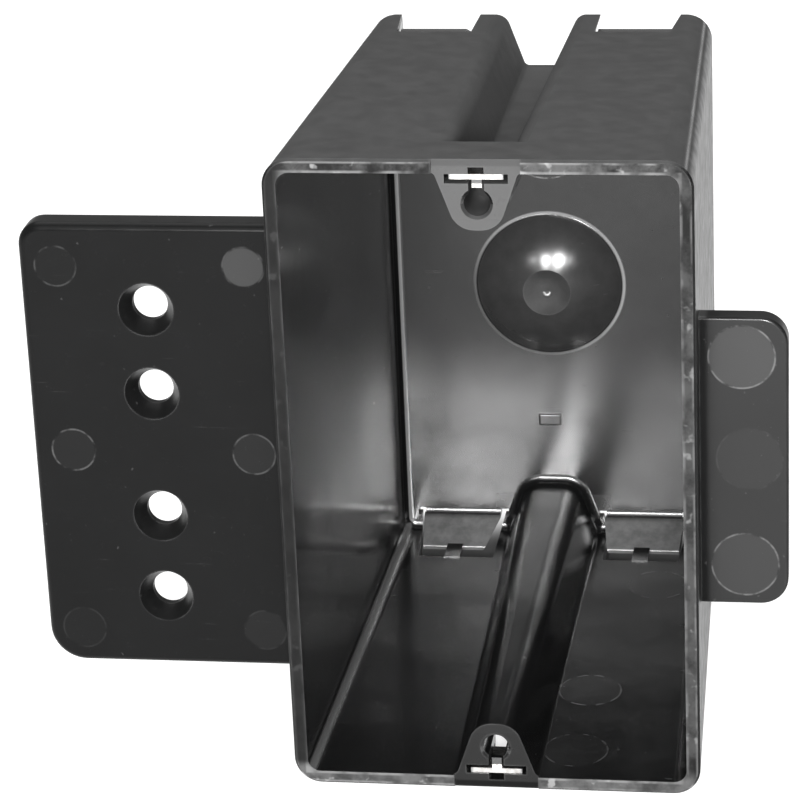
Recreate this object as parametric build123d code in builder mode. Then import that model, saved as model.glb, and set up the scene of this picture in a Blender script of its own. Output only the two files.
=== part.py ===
"""Single gang wall box: one drafted moulding with a nailing plate, and two steel clips for device screws.

The frame has X to the right, Y into the wall and Z up. Its origin is midway between the two device screws,
on the front face of the screw bosses.
"""

import math
import os

from build123d import *

os.makedirs("parts", exist_ok=True)

# Device screws, which set the height of the box
screw_pitch = 83.3
screw_to_rim = 6.5
screw_hole_diameter = 3.7
screw_hole_lead = 0.4

# Shell, at the rim and tapering evenly to the back
front_width = 59.5
front_height = screw_pitch + 2 * screw_to_rim
depth = 83.5
draft_angle = 2.0
wall = 2.0
corner_radius = 4.0
inner_corner_radius = 1.9
back_edge_radius = 2.0
inner_back_radius = 1.5
rim_chamfer = 0.35
rim_lead = 0.5

# Channel in the top and bottom walls, first at the rim and then at the back
channel_depth = (8.29, 8.7)
channel_half_floor = (1.45, 2.75)
channel_shoulder = 3.0
channel_root = 0.9
ridge_root = 3.4
ridge_foot_radius = 0.8
flank_slope = 0.355

# Screw boss that closes the front of each channel
boss_length = 8.6
boss_recess_width = 12.3
keyhole_width = 2.2
keyhole_skin = 0.9

# Clip slot in the boss and the clip that sits in it
slot_width = 8.8
slot_height = 1.35
slot_length = 7.2
slot_seat = 4.3
clip_width = 7.5
clip_thickness = 0.75
clip_clearance = 0.05
clip_end_gap = 0.2
tongue_side_gap = 0.4
tongue_setback = 0.6
tongue_screw_gap = 0.25
clip_bend_radius = 0.35

# Dome in the back wall, hollow from behind
dome_radius = 11.8
dome_dish_radius = 3.85
dome_dish_depth = 0.45
dome_height = 4.2
dome_x = 0.3
dome_rise = 0.35
dome_root = 1.2

# Stub that the moulding gate leaves under the dome
gate_width = 3.6
gate_height = 2.0
gate_lift = 0.5
gate_x = -0.2
gate_drop = 23.3
gate_edge_radius = 0.3

# Cable entries in the rear corners, each closed by a sloping tongue. The pair of outer sides is for the front
# and the back of an entry, and the pair of tapers for the left and the right tongues.
entry_inner = 8.0
entry_slant = 1.0
entry_outer = (21.2, 22.2)
entry_length = 12.6
entry_drop = 5.0
flap_taper = (2.3, 1.0)
flap_thickness = 1.0
flap_side_gap = 0.35
flap_tip_gap = 4.1
flap_sink = 0.95
flap_lip = 0.65
flap_hinge_radius = 1.6
flap_lip_radius = 0.4
slit_end_width = 1.3
bridge_width = 2.6
bridge_thickness = 0.9

# Nailing plate on the left
setback = 12.7
plate_width = 37.7
plate_height = 69.0
plate_rise = 0.9
plate_thickness = 4.0
plate_top_radius = 3.5
plate_bottom_radius = 5.3
plate_edge_radius = 1.2
nail_hole_diameter = 5.2
nail_sink_diameter = 8.0
nail_sink_depth = 2.9
nail_hole_inset = 18.15
nail_outer_pitch = 45.0
nail_inner_pitch = 19.2

# Stiffening tab on the right
tab_width = 12.2
tab_height = 44.1
tab_thickness = 2.8
tab_radius = 4.0
tab_edge_radius = 0.5

# Overlap of joined solids, overshoot of cuts, and lift that keeps a cut off the face it runs out on
overlap = 1.0
overshoot = 1.0
lift = 0.04

# Places worked out from the sizes above
y_rim = -rim_lead
y_back = y_rim + depth
y_floor = y_back - wall
y_plate_back = y_rim + setback
taper = depth * math.tan(math.radians(draft_angle))
screw_z = screw_pitch / 2
slot_outer = screw_z + slot_seat
slot_inner = slot_outer - slot_height


def section(y):
    """Plane across the box at depth y, with X to the right and Z up."""
    return Plane.XZ.offset(-y)


def along(pair, y):
    """Value at depth y of a size that runs evenly from the rim to the back."""
    return pair[0] + (pair[1] - pair[0]) * (y - y_rim) / depth


def half_width(y):
    return front_width / 2 - along((0, taper), y)


def half_height(y):
    return front_height / 2 - along((0, taper), y)


def long_edges(block):
    """Edges that run along the depth of a block."""
    return block.edges().filter_by(lambda e: abs((e @ 1 - e @ 0).Y) > depth / 2)


def channel_floor(y):
    return half_height(y) - along(channel_depth, y)


def flank_plane(side, inset):
    """Plane of the channel's flank on one side, moved out by inset."""
    start = Vector(side * channel_half_floor[0], y_rim, channel_floor(y_rim))
    end = Vector(side * channel_half_floor[1], y_back, channel_floor(y_back))
    run = end - start
    return Plane(start, x_dir=run, z_dir=run.cross(Vector(side * flank_slope, 0, 1)) * side).offset(inset)


def side_strip(y_start, y_end, low, high):
    """Strip on the middle plane between two heights that are given along the depth."""
    with BuildSketch(Plane.YZ) as strip:
        with BuildLine():
            Polyline(
                (y_start, low(y_start)),
                (y_end, low(y_end)),
                (y_end, high(y_end)),
                (y_start, high(y_start)),
                close=True,
            )
        make_face()
    return strip.sketch


def channel_form(y_start, y_end, inset):
    """Sharp channel between two depths: the groove with inset 0, and the ridge inside with inset wall."""
    def low(y):
        return channel_floor(y) - inset

    def high(y):
        return half_height(y) - inset + overshoot

    with BuildPart() as form:
        extrude(side_strip(y_start, y_end, low, high), amount=front_width / 4, both=True)
        for side in (-1, 1):
            split(bisect_by=flank_plane(side, inset), keep=Keep.BOTTOM)
    return form.part


def shell_form(y_start, y_end, inset):
    """Sharp drafted block of the shell between two depths, drawn in by inset."""
    with BuildPart() as form:
        with BuildSketch(section(y_start)):
            Rectangle(2 * (front_width / 2 - inset), 2 * (front_height / 2 - inset))
        extrude(amount=y_start - y_end)
        draft(form.faces().filter_by(Axis.Y, reverse=True), section(y_rim), -draft_angle)
    return form.part


def both_walls(piece, side):
    """A piece drawn in the upper right corner, put on its own side, and its copy in the bottom wall."""
    upper = piece if side > 0 else piece.mirror(Plane.YZ)
    return [upper, upper.mirror(Plane.XY)]


def wing_low(y):
    return half_height(y) + lift


def wing_high(y):
    return half_height(y) + lift + overshoot


# Groove outside the top wall, from the back of the boss to the back, with wings that its round shoulders meet
with BuildPart() as groove:
    add(channel_form(boss_length, y_back + overshoot, 0))
    wings = side_strip(boss_length, y_back + overshoot, wing_low, wing_high)
    extrude(wings, amount=front_width / 4, both=True)
    fillet(long_edges(groove).sort_by(lambda e: abs(e.center().X))[2:4], channel_shoulder)
    fillet(long_edges(groove).sort_by(lambda e: abs(e.center().X))[:2], channel_root)

# Ridge that the top channel makes inside the box
with BuildPart() as ridge:
    add(channel_form(y_rim - 2 * overshoot, y_floor + overshoot, wall))
    fillet(long_edges(ridge).sort_by(Axis.Z)[:2], ridge_root)

# Dome as it stands on the inner back face, a dished ball, and the hollow that leaves it an even wall
y_foot = y_floor + lift
y_brow = y_floor - dome_height
y_dish = y_brow + dome_dish_depth
dish_ball = (dome_dish_radius**2 + dome_dish_depth**2) / (2 * dome_dish_depth)
ball_sink = (dome_radius**2 - dome_dish_radius**2) / (2 * (y_foot - y_brow)) - (y_foot - y_brow) / 2
dome_ball = math.hypot(dome_radius, ball_sink)
skirt_radius = dome_radius + 2 * dome_root
with BuildPart() as dome:
    with BuildSketch(Plane((dome_x, 0, dome_rise), z_dir=(0, 0, 1))) as dome_outline:
        with BuildLine():
            RadiusArc((0, y_dish), (dome_dish_radius, y_brow), dish_ball)
            RadiusArc((dome_dish_radius, y_brow), (dome_radius, y_foot), -dome_ball)
            Polyline(
                (dome_radius, y_foot),
                (skirt_radius, y_foot),
                (skirt_radius, y_floor + overshoot),
                (0, y_floor + overshoot),
                (0, y_dish),
            )
        make_face()
        fillet(dome_outline.vertices().filter_by(lambda v: abs(v.X - dome_radius) < 1e-4), dome_root)
    revolve(axis=Axis((dome_x, 0, dome_rise), (0, 1, 0)))
with BuildPart() as dimple:
    with Locations((dome_x, y_foot + ball_sink, dome_rise)):
        Sphere(dome_ball - wall)

# Gate stub on the inner back face
with BuildPart() as gate_stub:
    with Locations((gate_x, y_floor - (gate_lift - overlap) / 2, -gate_drop)):
        Box(gate_width, gate_lift + overlap, gate_height)
    fillet(gate_stub.faces().sort_by(Axis.Y)[0].edges(), gate_edge_radius)

# Space inside the box
with BuildPart() as cavity:
    add(shell_form(y_rim - overshoot, y_floor, wall))
    fillet(long_edges(cavity), inner_corner_radius)
    add(ridge.part, mode=Mode.SUBTRACT)
    mirror(ridge.part, about=Plane.XY, mode=Mode.SUBTRACT)
    fillet(cavity.faces().sort_by(Axis.Y)[-1].edges(), inner_back_radius)
    ridge_edges = long_edges(cavity).filter_by(lambda e: abs(e.center().X) < front_width / 4)
    fillet(ridge_edges.filter_by(lambda e: abs(e.center().Z) > screw_z), ridge_foot_radius)
    add(dome.part, mode=Mode.SUBTRACT)

# Side view of a tongue, which slopes from the back wall into the thickness of the top wall
y_entry = y_back - entry_length
y_tip = y_entry + flap_tip_gap
hinge_z = half_height(y_back) - entry_drop
tip_z = half_height(y_back) - flap_sink
lip_z = tip_z - flap_lip
rise = lip_z - hinge_z
run = y_floor - y_tip
skin_y = flap_thickness * math.hypot(rise, run) / rise
y_root = y_back - wall / 4
root_z = hinge_z + (y_floor + skin_y - y_root) * rise / run
with BuildSketch(Plane.YZ) as flap_outline:
    with BuildLine():
        Polyline(
            (y_floor, hinge_z - overlap),
            (y_floor, hinge_z),
            (y_tip, lip_z),
            (y_tip, tip_z),
            (y_tip + skin_y, tip_z),
            (y_root, root_z),
            (y_root, hinge_z - overlap),
            close=True,
        )
    make_face()
    fillet(flap_outline.vertices().group_by(Axis.X)[0].sort_by(Axis.Y)[0], flap_lip_radius)
    fillet(flap_outline.vertices().group_by(Axis.Y)[1].sort_by(Axis.X)[0], flap_hinge_radius)

# Cable entries cut through both walls, their tongues with the bridge that holds each tip to the wall until it
# is broken off, and the wider ends of the slits beside each tongue
bridge_start = y_entry - overlap / 2
bridge_end = y_tip + flap_thickness / 2
outer_lead = entry_outer[1] - entry_outer[0]
outer_side = Plane((entry_outer[0], y_entry, hinge_z), x_dir=(0, 0, 1), z_dir=(-entry_length, outer_lead, 0))
inner_side = Plane((entry_inner, 0, hinge_z), x_dir=(0, 1, 0), z_dir=(rise, 0, -entry_slant))
with BuildPart() as entry:
    with Locations((front_width / 4, y_back, hinge_z + 2 * entry_drop)):
        Box(front_width / 2, 2 * entry_length, 4 * entry_drop)
    split(bisect_by=inner_side, keep=Keep.TOP)
    split(bisect_by=outer_side, keep=Keep.TOP)
entry_cuts = []
tongues = []
slit_cuts = []
for side, slant in zip((-1, 1), flap_taper):
    flap_side = Plane((entry_inner, 0, hinge_z), x_dir=(0, 1, 0), z_dir=(rise, 0, -slant))
    with BuildPart() as flap:
        extrude(flap_outline.sketch, amount=front_width / 2)
        split(bisect_by=flap_side.offset(flap_side_gap), keep=Keep.TOP)
        split(bisect_by=outer_side.offset(flap_side_gap), keep=Keep.TOP)
    bridge_x = (entry_inner + slant + entry_outer[0]) / 2
    with BuildPart() as bridge:
        with Locations((bridge_x, (bridge_start + bridge_end) / 2, tip_z - bridge_thickness / 2)):
            Box(bridge_width, bridge_end - bridge_start, bridge_thickness)
    with BuildPart() as slit_ends:
        for slit_x in (entry_inner + flap_side_gap / 2, entry_outer[1] - flap_side_gap / 2):
            with Locations((slit_x, y_back, hinge_z)):
                Box(slit_end_width, 2 * (wall + overshoot), slit_end_width)
    entry_cuts += both_walls(entry.part, side)
    tongues += both_walls(flap.part, side) + both_walls(bridge.part, side)
    slit_cuts += both_walls(slit_ends.part, side)

# Nailing plate, its holes countersunk from the front
plate_left = -(front_width / 2 + plate_width)
plate_right = -half_width(y_plate_back - plate_thickness) + overlap
nail_x = plate_left + nail_hole_inset
nail_sink_slope = (nail_sink_diameter - nail_hole_diameter) / 2 / nail_sink_depth
nail_zs = (nail_outer_pitch / 2, nail_inner_pitch / 2, -nail_inner_pitch / 2, -nail_outer_pitch / 2)
with BuildPart() as plate:
    with BuildSketch(section(y_plate_back)) as plate_outline:
        with Locations(((plate_left + plate_right) / 2, plate_rise)):
            Rectangle(plate_right - plate_left, plate_height)
        fillet(plate_outline.vertices().group_by(Axis.X)[0].sort_by(Axis.Y)[0], plate_bottom_radius)
        fillet(plate_outline.vertices().group_by(Axis.X)[0].sort_by(Axis.Y)[-1], plate_top_radius)
    extrude(amount=plate_thickness)
    front_edges = plate.faces().sort_by(Axis.Y)[0].edges()
    fillet(front_edges.filter_by(lambda e: e.center().X < plate_right - overlap / 2), plate_edge_radius)
    y_plate_front = y_plate_back - plate_thickness
    for nail_z in nail_zs:
        with Locations(Plane((nail_x, y_plate_front, nail_z), x_dir=(1, 0, 0), z_dir=(0, -1, 0))):
            CounterSinkHole(
                radius=nail_hole_diameter / 2,
                counter_sink_radius=nail_sink_diameter / 2,
                depth=plate_thickness + overshoot,
                counter_sink_angle=2 * math.degrees(math.atan(nail_sink_slope)),
            )

# Stiffening tab on the right
tab_left = half_width(y_plate_back - tab_thickness) - overlap
tab_right = front_width / 2 + tab_width
with BuildPart() as tab:
    with BuildSketch(section(y_plate_back)) as tab_outline:
        with Locations(((tab_left + tab_right) / 2, 0)):
            Rectangle(tab_right - tab_left, tab_height)
        fillet(tab_outline.vertices().group_by(Axis.X)[-1], tab_radius)
    extrude(amount=tab_thickness)
    front_edges = tab.faces().sort_by(Axis.Y)[0].edges()
    fillet(front_edges.filter_by(lambda e: e.center().X > tab_left + overlap / 2), tab_edge_radius)

# Cuts of the upper boss: face set back from the rim, screw hole, keyhole and clip slot
keyhole_top = half_height(boss_length) - keyhole_skin
with BuildPart() as boss_cuts:
    with Locations((0, (y_rim - overshoot) / 2, screw_z)):
        Box(boss_recess_width, rim_lead + overshoot, 4 * screw_to_rim)
    with Locations(Plane((0, boss_length / 2, screw_z), z_dir=(0, 1, 0))):
        Cylinder(screw_hole_diameter / 2, boss_length + 2 * overshoot)
    with Locations(Plane((0, screw_hole_lead / 2, screw_z), z_dir=(0, 1, 0))):
        Cone(screw_hole_diameter / 2 + screw_hole_lead, screw_hole_diameter / 2, screw_hole_lead)
    with Locations((0, boss_length / 2, (screw_z + keyhole_top) / 2)):
        Box(keyhole_width, boss_length + 2 * overshoot, keyhole_top - screw_z)
    with Locations((0, (slot_length - overshoot) / 2, (slot_outer + slot_inner) / 2)):
        Box(slot_width, slot_length + overshoot, slot_height)

# Box moulding
with BuildPart() as box_body:
    add(shell_form(y_rim, y_back, 0))
    fillet(long_edges(box_body), corner_radius)
    fillet(box_body.faces().sort_by(Axis.Y)[-1].edges(), back_edge_radius)
    chamfer(box_body.faces().sort_by(Axis.Y)[0].edges(), rim_chamfer)
    add(groove.part, mode=Mode.SUBTRACT)
    mirror(groove.part, about=Plane.XY, mode=Mode.SUBTRACT)
    add(dimple.part, mode=Mode.SUBTRACT)
    add(cavity.part, mode=Mode.SUBTRACT)
    add(entry_cuts, mode=Mode.SUBTRACT)
    add(tongues)
    add(slit_cuts, mode=Mode.SUBTRACT)
    add(gate_stub.part)
    add(plate.part)
    add(tab.part)
    add(boss_cuts.part, mode=Mode.SUBTRACT)
    mirror(boss_cuts.part, about=Plane.XY, mode=Mode.SUBTRACT)
box_body.part.label = "box_body"
export_step(box_body.part, "parts/box_body.step")

# Upper clip: a flat strip in the slot, with a tongue turned towards the screw
clip_front = clip_end_gap
clip_length = slot_length - 2 * clip_end_gap
clip_outer = slot_outer - clip_clearance
clip_inner = clip_outer - clip_thickness
clip_tip = screw_z + screw_hole_diameter / 2 + tongue_screw_gap
tongue_front = clip_front + tongue_setback
tongue_back = tongue_front + clip_thickness
with BuildPart() as screw_clip_top:
    with Locations((0, clip_front + clip_length / 2, (clip_outer + clip_inner) / 2)):
        Box(clip_width, clip_length, clip_thickness)
    with Locations((0, tongue_front + clip_thickness / 2, (clip_outer + clip_tip) / 2)):
        Box(keyhole_width - 2 * tongue_side_gap, clip_thickness, clip_outer - clip_tip)
    bend = screw_clip_top.edges().filter_by(Axis.X)
    bend = bend.filter_by_position(Axis.Z, clip_inner - 0.01, clip_inner + 0.01)
    bend = bend.filter_by_position(Axis.Y, tongue_back - 0.01, tongue_back + 0.01)
    fillet(bend, clip_bend_radius)
screw_clip_top.part.label = "screw_clip_top"
export_step(screw_clip_top.part, "parts/screw_clip_top.step")

# Lower clip, the same piece turned over
with BuildPart() as screw_clip_bottom:
    mirror(screw_clip_top.part, about=Plane.XY)
screw_clip_bottom.part.label = "screw_clip_bottom"
export_step(screw_clip_bottom.part, "parts/screw_clip_bottom.step")
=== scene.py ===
"""Looks of the single gang wall box: black moulded plastic, bright steel clips, pale floor and soft light."""

import math
from types import SimpleNamespace

import bpy
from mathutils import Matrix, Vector


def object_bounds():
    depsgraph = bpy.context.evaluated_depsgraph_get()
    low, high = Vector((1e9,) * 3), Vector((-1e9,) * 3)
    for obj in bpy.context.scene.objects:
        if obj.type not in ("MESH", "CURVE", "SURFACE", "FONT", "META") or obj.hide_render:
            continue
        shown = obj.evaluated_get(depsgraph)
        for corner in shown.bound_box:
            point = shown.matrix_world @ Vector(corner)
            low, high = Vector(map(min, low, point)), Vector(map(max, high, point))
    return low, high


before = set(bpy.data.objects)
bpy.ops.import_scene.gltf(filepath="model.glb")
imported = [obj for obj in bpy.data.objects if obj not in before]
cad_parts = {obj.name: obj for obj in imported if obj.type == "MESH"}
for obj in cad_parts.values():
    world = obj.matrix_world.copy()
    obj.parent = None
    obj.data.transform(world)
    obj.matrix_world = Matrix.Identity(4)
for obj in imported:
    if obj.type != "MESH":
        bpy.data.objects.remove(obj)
cad_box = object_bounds()

MM_IN_METRE = 1000.0

# Sizes of the box in millimetres, as the part has them, for masks that follow its walls
HALF_WIDTH = 29.75
HALF_HEIGHT = 48.15
DRAFT = math.tan(math.radians(2.0))
RIM_Y = -0.5
DOME_X = 0.3
DOME_Z = 0.35
PLATE_HOLES_X = -49.3

# The tongues lie where the height from the middle plus the slope times y comes to this level
TONGUE_SLOPE = 0.523
TONGUE_LEVEL = 82.6

# Middle of the painted highlight ring at the foot of the dome
DOME_HIGHLIGHT_RADIUS = 12.1

# Soft steps of the masks in millimetres: where each begins and where it is full
INSIDE_DEPTH = (0.8, 1.2)
INSIDE_Y = (82.2, 81.6)
GROOVE_WIDTH = (10.5, 9.5)
GROOVE_BRIM = (0.2, 0.6)
GROOVE_FLOOR = (9.0, 8.5)
TOP_WIDTH = (31.0, 30.0)
RIM_FACE_Y = (-0.1, -0.4)
BOSS_FACE_Y = (0.3, 0.1)
PLATE_X = (-30.0, -31.0)
TAB_X = (30.0, 31.0)
BACK_FACE_Y = (80.4, 80.8)
BOTTOM_FACE_Z = (-42.0, -43.0)
LEFT_FACE_X = (-20.0, -21.5)
BACK_CORNER_Y = (79.5, 80.0)
BOTTOM_CORNER_Z = (-40.0, -41.0)
DARK_END_Y = (70.0, 75.0)
DARK_END_Z = (-41.0, -38.0)
TONGUE_OFF_SLOPE = (0.9, 0.5)
TONGUE_TIP_Y = (74.2, 74.6)
TONGUE_ROOT_Y = (81.0, 79.5)
TONGUE_HEIGHT = (40.0, 40.8)
DOME_Y = (75.5, 76.0)
DOME_REACH = (11.9, 11.5)
DOME_HIGHLIGHT_WIDTH = (0.4, 0.1)
DOME_HIGHLIGHT_UP_RIGHT = (-15.0, 8.33)
DISH_REACH = (3.6, 4.0)
SINK_COLUMN = (9.0, 8.0)
SINK_HEIGHT = (30.0, 29.0)
MARK_EDGE_WIDTH = (0.22, 0.02)
RIM_OUTER_HIGHLIGHT = (0.75, 0.45)
RIM_INNER_HIGHLIGHT = (1.5, 1.8)
RIM_LIGHT_LOW_Z = (-44.0, -46.0)
RIM_SHADE_LEFT_X = (-26.0, -28.0)
RIM_SHADE_RIGHT_X = (26.0, 28.0)
GROOVE_LIGHT_FADE_Y = (10.0, 40.0)
UPPER_BOSS_Z = (-1.0, 1.0)
BACK_GLOSS_Z = (-8.0, -21.0)
LEFT_GLOSS_HIGH_Z = (-4.0, -15.0)
LEFT_GLOSS_LOW_Z = (-34.0, -27.0)
BOTTOM_GLOSS_X = (-6.0, 6.0)
CLIP_SHADED_END_X = (3.3, 3.7)
CLIP_UPPER_BAR_Z = (45.1, 44.8)
CLIP_UPPER_TIP_Z = (44.2, 44.5)
CLIP_LOWER_BAR_Z = (-45.1, -44.8)
CLIP_LOWER_HALF_Z = (0.0, -1.0)
FLOOR_SHADOW_WIDTH = (34.0, 22.0)
FLOOR_SHADOW_FRONT_Y = (60.0, 72.0)
FLOOR_SHADOW_BACK_Y = (106.0, 84.0)

# An edge is worn and given a painted highlight where its rounded normal turns from its own by these cosines:
# where that begins and is full
EDGE_MEETING = (0.985, 0.88)

# Soft steps by the way that a surface faces: the cosine where each begins and the cosine where it is full
GROOVE_FACING = (-0.02, 0.06)
TOP_FACING = (0.4, 0.9)
FRONT_FACING = (0.75, 0.95)
OUTER_FACING = (0.3, 0.1)
BOTTOM_FACING = (0.9, 0.98)
LEFT_FACING = (0.85, 0.95)
BEND_FACING = (0.3, 0.55)
BACK_BEND_START = (0.8, 0.88)
BACK_BEND_END = (0.995, 0.97)
TONGUE_FACING = (0.2, 0.4)
DOME_FACING = (0.1, 0.3)
SINK_STEEPEST = (0.4, 0.55)
SINK_FLATTEST = (0.9, 0.8)

# Ejector pin marks on the plate and the tab: x, z and radius in millimetres, then how pale face and edge are
PLATE_MARKS = [
    (-62.1, 29.0, 3.0, 0.02, 0.15),
    (-34.8, 29.1, 3.0, 0.42, 0.2),
    (-61.5, 0.6, 3.2, 0.05, 0.3),
    (-34.8, 0.4, 3.1, 0.08, 0.22),
    (-62.0, -28.0, 3.2, 0.02, 0.05),
    (-34.7, -27.7, 3.1, 0.06, 0.06),
]
TAB_MARKS = [
    (35.4, 16.1, 4.7, 0.3, 0.5),
    (35.8, -15.8, 4.8, 0.15, 0.45),
    (36.5, 0.6, 4.7, 0.06, 0.08),
]

# The same for the ring on the inner back face, and with x and y for the marks on the inner bottom face
BACK_MARKS = [
    (0.3, 25.8, 7.5, 0.0, 0.8),
]
BOTTOM_MARKS = [
    (11.2, 26.3, 4.7, 0.12, 0.35),
    (18.8, 62.0, 4.7, 0.05, 0.2),
    (10.8, 8.0, 4.7, 0.05, 0.25),
    (-23.0, 60.6, 4.7, 0.05, 0.2),
]

# Width of the soft border of a mark's face in millimetres
MARK_FACE_SOFTNESS = 0.25

# Lights: name, place, target and size in metres, and power in watts
LIGHTS = [
    ("key", (-0.085, -0.62, 0.215), (0.0, 0.06, -0.02), (0.1, 0.09), 2.5),
    ("fill", (0.1, -0.62, 0.215), (0.0, 0.06, -0.02), (0.08, 0.09), 5.6),
    ("front", (0.0, -0.65, 0.6), (0.0, 0.06, 0.0), (0.9, 0.6), 3.2),
    ("overhead", (0.0, 0.45, 1.3), (0.0, 0.3, 0.0), (1.6, 1.2), 16.0),
]
WORLD_STRENGTH = 0.31

# Side of the floor in metres, and the strength of its own light
FLOOR_SIZE = 8.0
FLOOR_GLOW = 0.75

# Camera solved from the box's straight edges in the photograph: metres, degrees and millimetres
CAMERA_PLACE = (0.062787, -0.456891, 0.198664)
CAMERA_TURN = (68.0839, 2.3555, 8.3236)
CAMERA_LENS = 160.232
CAMERA_SENSOR = 36.0


class Graph:
    """Short calls for building one material's node tree."""

    def __init__(self, name):
        self.material = bpy.data.materials.new(name)
        self.material.use_nodes = True
        self.tree = self.material.node_tree
        self.tree.nodes.clear()

    def put(self, socket, value):
        if isinstance(value, bpy.types.NodeSocket):
            self.tree.links.new(value, socket)
        else:
            socket.default_value = value

    def new(self, kind, settings=None, **inputs):
        made = self.tree.nodes.new(kind)
        for key, value in (settings or {}).items():
            setattr(made, key, value)
        for key, value in inputs.items():
            self.put(made.inputs[key.replace("_", " ")], value)
        return made

    def millimetres(self):
        """Place on the object as a vector in millimetres."""
        place = self.new("ShaderNodeTexCoord").outputs["Object"]
        scaled = self.new("ShaderNodeVectorMath", {"operation": "SCALE"}, Vector=place, Scale=MM_IN_METRE)
        return scaled.outputs["Vector"]

    def split(self, vector):
        return self.new("ShaderNodeSeparateXYZ", Vector=vector).outputs

    def math(self, operation, first, second=0.0):
        made = self.tree.nodes.new("ShaderNodeMath")
        made.operation = operation
        for socket, value in zip(made.inputs, (first, second)):
            self.put(socket, value)
        return made.outputs[0]

    def minus(self, first, second):
        return self.math("SUBTRACT", first, second)

    def absolute(self, value):
        return self.math("ABSOLUTE", value)

    def product(self, *factors):
        result = factors[0]
        for factor in factors[1:]:
            result = self.math("MULTIPLY", result, factor)
        return result

    def total(self, *terms):
        result = terms[0]
        for term in terms[1:]:
            result = self.math("ADD", result, term)
        return result

    def most(self, *values):
        result = values[0]
        for value in values[1:]:
            result = self.math("MAXIMUM", result, value)
        return result

    def reach(self, across, up):
        """Distance from a centre, from the distances along two axes."""
        return self.math("SQRT", self.total(self.product(across, across), self.product(up, up)))

    def ramp(self, value, low, high, out_low=0.0, out_high=1.0):
        """Value carried smoothly from low..high to out_low..out_high."""
        made = self.new("ShaderNodeMapRange", {"interpolation_type": "SMOOTHSTEP"}, Value=value)
        for key, number in (("From Min", low), ("From Max", high), ("To Min", out_low), ("To Max", out_high)):
            self.put(made.inputs[key], number)
        return made.outputs["Result"]

    def blend(self, factor, first, second):
        made = self.new("ShaderNodeMix", {"data_type": "FLOAT"})
        for socket, value in zip(made.inputs[:1] + made.inputs[2:4], (factor, first, second)):
            self.put(socket, value)
        return made.outputs[0]

    def tint(self, factor, first, second):
        made = self.new("ShaderNodeMix", {"data_type": "RGBA"})
        for socket, value in zip(made.inputs[:1] + made.inputs[6:8], (factor, first, second)):
            self.put(socket, value)
        return made.outputs[2]

    def painted(self, colour, layers):
        """Colour with layers laid over it in turn, each a mask and its own colour."""
        for mask, layer_colour in layers:
            colour = self.tint(mask, colour, layer_colour)
        return colour

    def noise(self, vector, scale, detail=3.0, roughness=0.55):
        made = self.new("ShaderNodeTexNoise", Vector=vector, Scale=scale, Detail=detail, Roughness=roughness)
        return made.outputs["Fac"]

    def stretched(self, vector, scale, turn=(0.0, 0.0, 0.0)):
        made = self.new("ShaderNodeMapping", Vector=vector, Scale=scale, Rotation=turn)
        return made.outputs["Vector"]

    def finished(self, shader):
        self.new("ShaderNodeOutputMaterial", Surface=shader.outputs["BSDF"])
        return self.material


def grey(level, warm=0.0):
    """Grey of one level, made warmer by a positive share and cooler by a negative one."""
    return (level * (1 + warm), level, level * (1 - warm), 1.0)


def plastic_place(g):
    """Where a point of the moulding is, in millimetres, and which way its surface faces."""
    at = SimpleNamespace(mm=g.millimetres())
    at.x, at.y, at.z = g.split(at.mm)
    at.width = g.absolute(at.x)
    at.height = g.absolute(at.z)
    drawn_in = g.product(g.minus(at.y, RIM_Y), DRAFT)
    at.from_side = g.minus(g.minus(HALF_WIDTH, drawn_in), at.width)
    at.from_top = g.minus(g.minus(HALF_HEIGHT, drawn_in), at.height)
    at.right_of_dome = g.minus(at.x, DOME_X)
    at.above_dome = g.minus(at.z, DOME_Z)
    at.dome_reach = g.reach(at.right_of_dome, at.above_dome)

    normal = g.new("ShaderNodeNewGeometry").outputs["Normal"]
    at.to_right, to_back, at.to_top = g.split(normal)
    at.to_front = g.product(to_back, -1.0)
    at.outward = g.product(g.math("SIGN", at.z), at.to_top)
    rounded = g.new("ShaderNodeBevel", {"samples": 2}, Radius=0.0004).outputs["Normal"]
    meeting = g.new("ShaderNodeVectorMath", {"operation": "DOT_PRODUCT"})
    g.put(meeting.inputs[0], normal)
    g.put(meeting.inputs[1], rounded)
    at.edge = g.ramp(meeting.outputs["Value"], *EDGE_MEETING)
    return at


def plastic_areas(g, at):
    """Masks of the walls, the rim, the bosses, the plate and the tab."""
    area = SimpleNamespace()
    area.groove = g.product(
        g.ramp(at.outward, *GROOVE_FACING),
        g.ramp(at.width, *GROOVE_WIDTH),
        g.ramp(at.from_top, *GROOVE_BRIM),
        g.ramp(at.from_top, *GROOVE_FLOOR),
    )
    area.inside = g.product(
        g.ramp(at.from_side, *INSIDE_DEPTH),
        g.ramp(at.from_top, *INSIDE_DEPTH),
        g.ramp(at.y, *INSIDE_Y),
        g.minus(1.0, area.groove),
    )
    outside = g.ramp(area.inside, 1.0, 0.0)
    area.outer = g.product(outside, g.ramp(at.to_front, *OUTER_FACING))
    area.top = g.product(g.ramp(at.outward, *TOP_FACING), outside, g.ramp(at.width, *TOP_WIDTH))
    front = g.ramp(at.to_front, *FRONT_FACING)
    area.rim = g.product(front, g.ramp(at.y, *RIM_FACE_Y))
    area.not_rim = g.minus(1.0, area.rim)
    area.boss = g.product(front, g.ramp(at.y, *BOSS_FACE_Y), area.not_rim)
    area.plate = g.product(front, g.ramp(at.x, *PLATE_X))
    area.tab = g.product(front, g.ramp(at.x, *TAB_X))
    area.back = g.product(front, g.ramp(at.y, *BACK_FACE_Y))
    area.bottom = g.product(area.inside, g.ramp(at.to_top, *BOTTOM_FACING), g.ramp(at.z, *BOTTOM_FACE_Z))
    area.near_left = g.product(area.inside, g.ramp(at.x, *LEFT_FACE_X))
    area.left = g.product(area.near_left, g.ramp(at.to_right, *LEFT_FACING))
    return area


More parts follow.
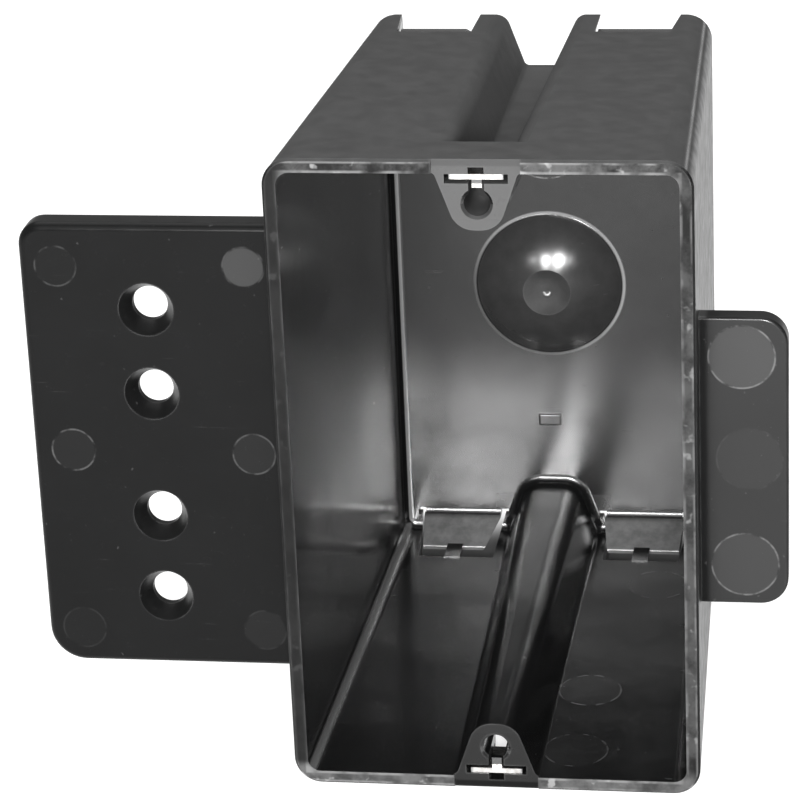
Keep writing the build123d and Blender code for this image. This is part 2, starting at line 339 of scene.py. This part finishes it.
def add_detail_areas(g, at, area):
    """Masks of the tongues, the dome, its painted highlight ring, the left wall's painted corner highlights
    and dull rear end, and the countersinks.
    """
    off_slope = g.absolute(g.total(at.height, g.product(at.y, TONGUE_SLOPE), -TONGUE_LEVEL))
    # the tongues' faces, which are painted lighter as painted light
    area.tongue = g.product(
        g.ramp(off_slope, *TONGUE_OFF_SLOPE),
        g.ramp(at.y, *TONGUE_TIP_Y),
        g.ramp(at.y, *TONGUE_ROOT_Y),
        g.ramp(at.height, *TONGUE_HEIGHT),
        g.ramp(at.to_front, *TONGUE_FACING),
    )

    # Painted highlight ring at the dome's foot, palest at its upper right
    at_back = g.product(area.inside, g.ramp(at.y, *DOME_Y), g.ramp(at.to_front, *DOME_FACING))
    area.dome = g.product(at_back, g.ramp(at.dome_reach, *DOME_REACH))
    up_right = g.total(at.right_of_dome, at.above_dome)
    area.dome_ring = g.product(
        at_back,
        g.ramp(g.absolute(g.minus(at.dome_reach, DOME_HIGHLIGHT_RADIUS)), *DOME_HIGHLIGHT_WIDTH),
        g.ramp(up_right, *DOME_HIGHLIGHT_UP_RIGHT, 0.15, 1.0),
    )

    # The left wall's rounded corners get a painted highlight at the back and the bottom, and its rear end is
    # dull
    left_end = g.product(area.near_left, g.ramp(at.to_right, *BEND_FACING))
    back_bend = g.product(g.ramp(at.to_front, *BACK_BEND_START), g.ramp(at.to_front, *BACK_BEND_END))
    bottom_bend = g.ramp(at.to_top, *BEND_FACING)
    area.corner = g.most(
        g.product(area.near_left, g.ramp(at.y, *BACK_CORNER_Y), back_bend),
        g.product(left_end, g.ramp(at.z, *BOTTOM_CORNER_Z), bottom_bend, 0.6),
    )
    area.dark_end = g.product(left_end, g.ramp(at.y, *DARK_END_Y), g.ramp(at.z, *DARK_END_Z))

    # Cones of the plate's countersunk holes
    area.sunk = g.product(
        g.ramp(at.to_front, *SINK_STEEPEST),
        g.ramp(at.to_front, *SINK_FLATTEST),
        g.ramp(g.absolute(g.minus(at.x, PLATE_HOLES_X)), *SINK_COLUMN),
        g.ramp(at.height, *SINK_HEIGHT),
    )


def mark_masks(g, first, second, marks):
    """Face and edge masks of round ejector marks, placed along two axes."""
    faces, edges = [], []
    for centre_first, centre_second, radius, face, edge in marks:
        reach = g.reach(g.minus(first, centre_first), g.minus(second, centre_second))
        faces.append(g.product(g.ramp(reach, radius, radius - MARK_FACE_SOFTNESS), face))
        off_edge = g.absolute(g.minus(reach, radius))
        edges.append(g.product(g.ramp(off_edge, *MARK_EDGE_WIDTH), edge))
    return g.most(*faces), g.most(*edges)


def plastic_marks(g, at, area):
    """Masks of all ejector marks: their faces and their broken edges."""
    faces, edges = [], []
    for where, first, second, marks in (
        (area.plate, at.x, at.z, PLATE_MARKS),
        (area.tab, at.x, at.z, TAB_MARKS),
        (area.back, at.x, at.z, BACK_MARKS),
        (area.bottom, at.x, at.y, BOTTOM_MARKS),
    ):
        face, edge = mark_masks(g, first, second, marks)
        faces.append(g.product(where, face))
        edges.append(g.product(where, edge))
    broken = g.ramp(g.noise(at.mm, 0.45, 4.0), 0.38, 0.62)
    return SimpleNamespace(face=g.most(*faces), edge=g.product(g.most(*edges), broken))


def plastic_texture(g, at):
    """Unevenness, dust, scuffs, and worn edges with a painted highlight."""
    texture = SimpleNamespace()
    texture.cloud = g.noise(at.mm, 0.06, 4.0, 0.6)
    texture.mottle = g.noise(at.mm, 0.35, 5.0, 0.65)
    texture.mottled = g.ramp(texture.mottle, 0.3, 0.7)
    texture.grain = g.noise(at.mm, 6.0, 2.0)
    texture.wave = g.noise(at.mm, 0.045, 1.0)
    texture.speck = g.ramp(g.noise(at.mm, 1.1, 1.0), 0.74, 0.79)
    scuff_field = g.stretched(at.mm, (0.09, 0.6, 2.2), (0.0, 0.35, 0.3))
    scuff_lines = g.ramp(g.noise(scuff_field, 1.0, 3.0), 0.66, 0.78)
    texture.scuff = g.product(scuff_lines, g.ramp(texture.mottle, 0.45, 0.7))
    texture.wear = g.product(at.edge, g.ramp(g.noise(at.mm, 0.3, 4.0), 0.35, 0.65, 0.25, 1.0))
    return texture


def rim_shade(g, at):
    """Worn rim with patches and nicks, painted highlight lines along its edges, painted light low down and
    painted shade on the left and the right.
    """
    patch = g.ramp(g.noise(at.mm, 0.12, 5.0, 0.7), 0.38, 0.64)
    nick = g.ramp(g.noise(at.mm, 0.5, 2.0), 0.6, 0.72)
    from_edge = g.math("MINIMUM", at.from_side, at.from_top)
    rim_highlight = g.most(g.ramp(from_edge, *RIM_OUTER_HIGHLIGHT), g.ramp(from_edge, *RIM_INNER_HIGHLIGHT))
    rim_highlight_breaks = g.ramp(g.noise(at.mm, 0.22, 3.0), 0.4, 0.6)
    low = g.ramp(at.z, *RIM_LIGHT_LOW_Z)
    rim_side_shade = g.most(g.product(g.ramp(at.x, *RIM_SHADE_LEFT_X), 0.92), g.product(g.ramp(at.x, *RIM_SHADE_RIGHT_X), 0.45))
    plain = g.tint(patch, grey(0.008), grey(0.07))
    return g.painted(plain, [
        # painted highlight lines, worn nicks, painted light on the lower rim and painted shade at the sides
        (g.product(rim_highlight, rim_highlight_breaks, 0.5), grey(0.22)),
        (g.product(nick, 0.6), grey(0.3)),
        (g.product(low, 0.08), grey(0.25)),
        (g.product(rim_side_shade, g.ramp(low, 1.0, 0.0)), grey(0.005)),
    ])


def plastic_shade(g, at, area, texture, marks):
    """Base colour, painted in layers from the plain plastic up to the worn edges, with painted light, shade
    and highlights among them.
    """
    plain = g.tint(texture.cloud, grey(0.003), grey(0.006, -0.02))
    outer_shade = g.tint(texture.mottled, grey(0.009), grey(0.017))
    top_painted_light = g.tint(texture.mottled, grey(0.044), grey(0.06))
    boss_painted_light = g.tint(g.ramp(at.z, *UPPER_BOSS_Z), grey(0.003), grey(0.055))
    groove_painted_light = g.ramp(at.y, *GROOVE_LIGHT_FADE_Y, 0.4, 1.0)
    tongue_painted_light_patches = g.ramp(texture.mottle, 0.2, 0.8, 0.5, 1.0)
    dome_painted_light_patches = g.ramp(texture.mottle, 0.2, 0.8, 0.7, 1.0)
    sunk_patches = g.blend(texture.mottled, 0.6, 1.0)
    return g.painted(plain, [
        (g.product(marks.face, 0.5), grey(0.14)),
        (g.product(marks.edge, 0.7), grey(0.25)),
        (g.product(texture.scuff, 0.25), grey(0.10)),
        (area.outer, outer_shade),
        (g.product(area.outer, texture.scuff, 0.4), grey(0.08)),
        (g.product(texture.speck, 0.08), grey(0.25)),
        # groove painted lighter towards the back: painted light
        (g.product(area.groove, groove_painted_light), grey(0.06)),
        # top painted lighter than the sides: painted light
        (area.top, top_painted_light),
        # tongues painted lighter: painted light
        (g.product(area.tongue, tongue_painted_light_patches), grey(0.14)),
        # dome painted lighter in patches: painted light
        (g.product(area.dome, dome_painted_light_patches), grey(0.032)),
        # painted highlight ring round the dome's foot
        (g.product(area.dome_ring, 0.6), grey(0.3)),
        # painted highlight along the left wall's rounded corners
        (g.product(area.corner, 0.7), grey(0.2)),
        (g.product(area.sunk, sunk_patches), grey(0.022)),
        # rim colour: wear with painted highlights, painted light and painted shade
        (area.rim, rim_shade(g, at)),
        # upper boss painted lighter and lower boss darker: painted light and shade
        (area.boss, boss_painted_light),
        # worn edges, also a painted highlight along every edge
        (g.product(texture.wear, 0.55), grey(0.09)),
    ])


def plastic_roughness(g, area, texture):
    """Glossy inside and satin outside, rougher where it is scuffed, on the rim and on the top and bottom."""
    satin = g.blend(texture.mottled, 0.28, 0.4)
    gloss = g.blend(texture.mottled, 0.14, 0.24)
    rough = g.total(g.blend(area.inside, satin, gloss), g.product(texture.scuff, 0.2))
    rough = g.blend(area.plate, rough, g.blend(texture.mottled, 0.2, 0.28))
    rough = g.blend(g.most(area.top, area.groove), rough, g.blend(texture.mottled, 0.72, 0.88))
    return g.blend(area.rim, rough, 0.5)


def plastic_coat(g, at, area, texture):
    """Weight of the glossy coat, which is strong inside, weak on the tab and varied from wall to wall."""
    coat = g.product(area.tab, 0.3)
    coat = g.blend(area.inside, coat, g.blend(texture.mottled, 1.0, 0.92))
    coat = g.blend(area.dome, coat, g.ramp(at.dome_reach, *DISH_REACH, 0.22, 0.48))
    flat_back = g.product(area.back, g.ramp(area.dome, 1.0, 0.0))
    back_gloss = g.ramp(at.z, *BACK_GLOSS_Z, 0.48, 1.0)
    left_high_gloss = g.ramp(at.z, *LEFT_GLOSS_HIGH_Z, 0.65, 1.0)
    left_low_gloss = g.ramp(at.z, *LEFT_GLOSS_LOW_Z, 0.5, 1.0)
    bottom_gloss = g.ramp(at.x, *BOTTOM_GLOSS_X, 0.45, 0.2)
    return g.product(
        coat,
        g.blend(flat_back, 1.0, back_gloss),
        g.blend(area.left, 1.0, g.product(left_high_gloss, left_low_gloss)),
        g.blend(area.bottom, 1.0, bottom_gloss),
        g.ramp(area.boss, 0.0, 1.0, 1.0, 0.35),
        g.ramp(area.dark_end, 0.0, 1.0, 1.0, 0.15),
        area.not_rim,
    )


def plastic_bump(g, texture, marks):
    height = g.total(
        g.product(texture.wave, 0.6),
        g.product(texture.mottle, 0.02),
        g.product(texture.grain, 0.004),
        g.product(marks.edge, 0.05),
    )
    return g.new("ShaderNodeBump", Height=height, Strength=0.5, Distance=0.001).outputs["Normal"]


def black_plastic():
    """Moulded plastic, glossy inside and satin outside, worn at the rim and the edges, with painted light and
    shade.
    """
    g = Graph("black_plastic")
    at = plastic_place(g)
    area = plastic_areas(g, at)
    add_detail_areas(g, at, area)
    marks = plastic_marks(g, at, area)
    texture = plastic_texture(g, at)
    bump = plastic_bump(g, texture, marks)
    shader = g.new(
        "ShaderNodeBsdfPrincipled",
        Base_Color=plastic_shade(g, at, area, texture, marks),
        Roughness=plastic_roughness(g, area, texture),
        Normal=bump,
        Specular_IOR_Level=0.11,
        Coat_Weight=plastic_coat(g, at, area, texture),
        Coat_Roughness=0.2,
        Coat_IOR=1.75,
        Coat_Normal=bump,
    )
    return g.finished(shader)


def clip_steel():
    """Stained plated steel, with painted shade at the bar's ends, over the upper tongue's tip and on the
    lower tongue.
    """
    g = Graph("clip_steel")
    mm = g.millimetres()
    x, _, z = g.split(mm)
    brushed = g.noise(g.stretched(mm, (0.4, 6.0, 6.0)), 1.0, 3.0)
    stain = g.ramp(g.noise(mm, 0.8, 3.0), 0.35, 0.7)
    upper_tongue_shade = g.product(g.ramp(z, *CLIP_UPPER_BAR_Z), g.ramp(z, *CLIP_UPPER_TIP_Z))
    lower_tongue_shade = g.product(g.ramp(z, *CLIP_LOWER_HALF_Z), g.ramp(z, *CLIP_LOWER_BAR_Z))
    plain = g.tint(stain, grey(0.72, 0.02), grey(0.45, 0.04))
    shade = g.painted(plain, [
        # painted shade at the bar's ends and on the tongues
        (g.ramp(g.absolute(x), *CLIP_SHADED_END_X), grey(0.3)),
        (g.most(upper_tongue_shade, lower_tongue_shade), grey(0.14)),
    ])
    bump = g.new("ShaderNodeBump", Height=brushed, Strength=0.15, Distance=0.0002).outputs["Normal"]
    shader = g.new(
        "ShaderNodeBsdfPrincipled",
        Base_Color=shade,
        Metallic=1.0,
        Roughness=g.blend(brushed, 0.18, 0.38),
        Normal=bump,
    )
    return g.finished(shader)


def floor_paint():
    """Pale floor with a glow of its own, which fades in a painted shadow under the box's rear and behind it.
    """
    g = Graph("floor_paint")
    x, y, _ = g.split(g.millimetres())
    # painted shadow under the box's rear and behind it, where the floor is dark and has no glow
    patch = g.product(
        g.ramp(g.absolute(x), *FLOOR_SHADOW_WIDTH),
        g.ramp(y, *FLOOR_SHADOW_FRONT_Y),
        g.ramp(y, *FLOOR_SHADOW_BACK_Y),
    )
    shader = g.new(
        "ShaderNodeBsdfPrincipled",
        Base_Color=g.tint(patch, grey(0.45), grey(0.02)),
        Roughness=0.8,
        Emission_Color=grey(1.0),
        Emission_Strength=g.ramp(patch, 0.0, 1.0, FLOOR_GLOW, 0.0),
    )
    return g.finished(shader)


def dress(node, material):
    node.data.materials.clear()
    node.data.materials.append(material)


def area_light(name, place, target, size, power):
    data = bpy.data.lights.new(name, "AREA")
    data.shape = "RECTANGLE"
    data.size, data.size_y = size
    data.energy = power
    light = bpy.data.objects.new(name, data)
    light.location = place
    light.visible_camera = False
    light.rotation_euler = (Vector(target) - Vector(place)).to_track_quat("-Z", "Y").to_euler()
    bpy.context.collection.objects.link(light)


dress(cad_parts["box_body"], black_plastic())
steel = clip_steel()
for clip in ("screw_clip_top", "screw_clip_bottom"):
    dress(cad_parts[clip], steel)

# Floor under the lowest edge of the box
floor_z = cad_box[0][2]
bpy.ops.mesh.primitive_plane_add(size=FLOOR_SIZE, location=(0.0, 0.0, floor_z))
floor = bpy.context.object
floor.name = "floor"
floor.data.materials.append(floor_paint())

for light in LIGHTS:
    area_light(*light)

world = bpy.data.worlds.new("studio")
bpy.context.scene.world = world
world.use_nodes = True
background = world.node_tree.nodes["Background"]
background.inputs["Color"].default_value = (1.0, 1.0, 1.0, 1.0)
background.inputs["Strength"].default_value = WORLD_STRENGTH
bpy.context.scene.view_settings.view_transform = "Standard"

camera_data = bpy.data.cameras.new("camera")
camera_data.sensor_width = CAMERA_SENSOR
camera_data.lens = CAMERA_LENS
camera = bpy.data.objects.new("camera", camera_data)
camera.location = CAMERA_PLACE
camera.rotation_euler = [math.radians(angle) for angle in CAMERA_TURN]
bpy.context.collection.objects.link(camera)
bpy.context.scene.camera = camera
